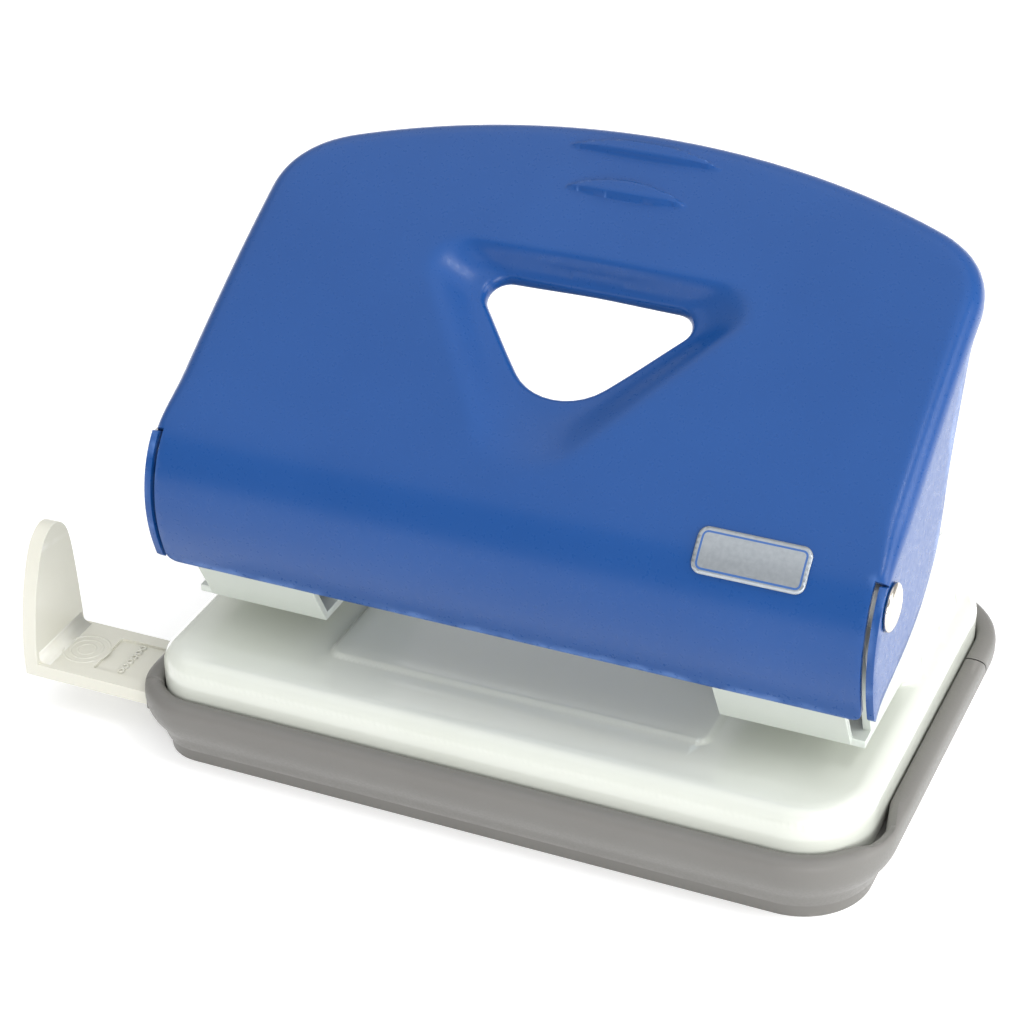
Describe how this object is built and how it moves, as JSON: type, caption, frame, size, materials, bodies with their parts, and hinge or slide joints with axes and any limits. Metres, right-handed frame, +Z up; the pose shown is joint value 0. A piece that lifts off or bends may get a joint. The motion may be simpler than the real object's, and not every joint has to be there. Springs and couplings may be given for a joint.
{
  "type": "hole punch",
  "caption": "Desk hole punch with a sprung sheet-steel handle, paired punch pins, sliding paper guide and hinged chip tray.",
  "frame": {"origin": "Midway between the two punching axes, on the surface that the punch stands on.", "axes": "+X to the right along the line through both punching axes, +Y away from the user towards the rear edge, +Z up."},
  "size_m": [0.1355, 0.0765, 0.0828],
  "materials": {
    "white_paint": "smooth pale green-white stoved enamel",
    "blue_paint": "satin blue stoved enamel",
    "grey_plastic": "fine-textured warm grey moulded plastic",
    "guide_plastic": "slightly translucent off-white moulded plastic",
    "zinc": "zinc-plated pressed steel",
    "pin_steel": "ground hardened steel",
    "spring_steel": "drawn spring wire",
    "nickel": "polished nickel",
    "nylon": "natural nylon",
    "badge_metal": "fine-brushed foil plate, bare"
  },
  "bodies": {
    "frame": {"base_plate": "white_paint", "left_bracket": "white_paint", "right_bracket": "white_paint", "bracket_rivets": "zinc", "left_pivot_rivet": "nickel", "right_pivot_rivet": "nickel", "left_pivot_washer": "nylon", "right_pivot_washer": "nylon", "left_return_spring": "spring_steel", "right_return_spring": "spring_steel", "tray_hinge_strip": "grey_plastic", "guide_channel": "zinc"},
    "handle": {"handle_shell": "blue_paint", "badge_plate": "badge_metal", "left_press_plate": "zinc", "right_press_plate": "zinc"},
    "left_pin": {"left_punch_pin": "pin_steel", "left_spring_clip": "spring_steel"},
    "right_pin": {"right_punch_pin": "pin_steel", "right_spring_clip": "spring_steel"},
    "guide": {"paper_guide": "guide_plastic"},
    "tray": {"chip_tray": "grey_plastic"}
  },
  "joints": [
    {"name": "handle_press", "type": "hinge", "parent": "frame", "child": "handle", "pos_m": [0, -0.0131, 0.0473], "axis": [-1, 0, 0], "range_deg": [0, 30], "stiffness_Nm_per_rad": 0.9, "springref_deg": -20.05},
    {"name": "left_pin_slide", "type": "slide", "parent": "frame", "child": "left_pin", "axis": [0, 0, -1], "range_m": [0, 0.00704], "deforming": ["left_return_spring"]},
    {"name": "right_pin_slide", "type": "slide", "parent": "frame", "child": "right_pin", "axis": [0, 0, -1], "range_m": [0, 0.00704], "deforming": ["right_return_spring"]},
    {"name": "guide_slide", "type": "slide", "parent": "frame", "child": "guide", "axis": [-1, 0, 0], "range_m": [-0.017, 0.03]},
    {"name": "tray_hinge", "type": "hinge", "parent": "frame", "child": "tray", "pos_m": [0, 0.044, 0.0054], "axis": [1, 0, 0], "range_deg": [0, 60]}
  ],
  "couplings": [
    {"joint": "left_pin_slide", "follows": "handle_press", "m_per_rad": 0.013408},
    {"joint": "right_pin_slide", "follows": "handle_press", "m_per_rad": 0.013408}
  ]
}
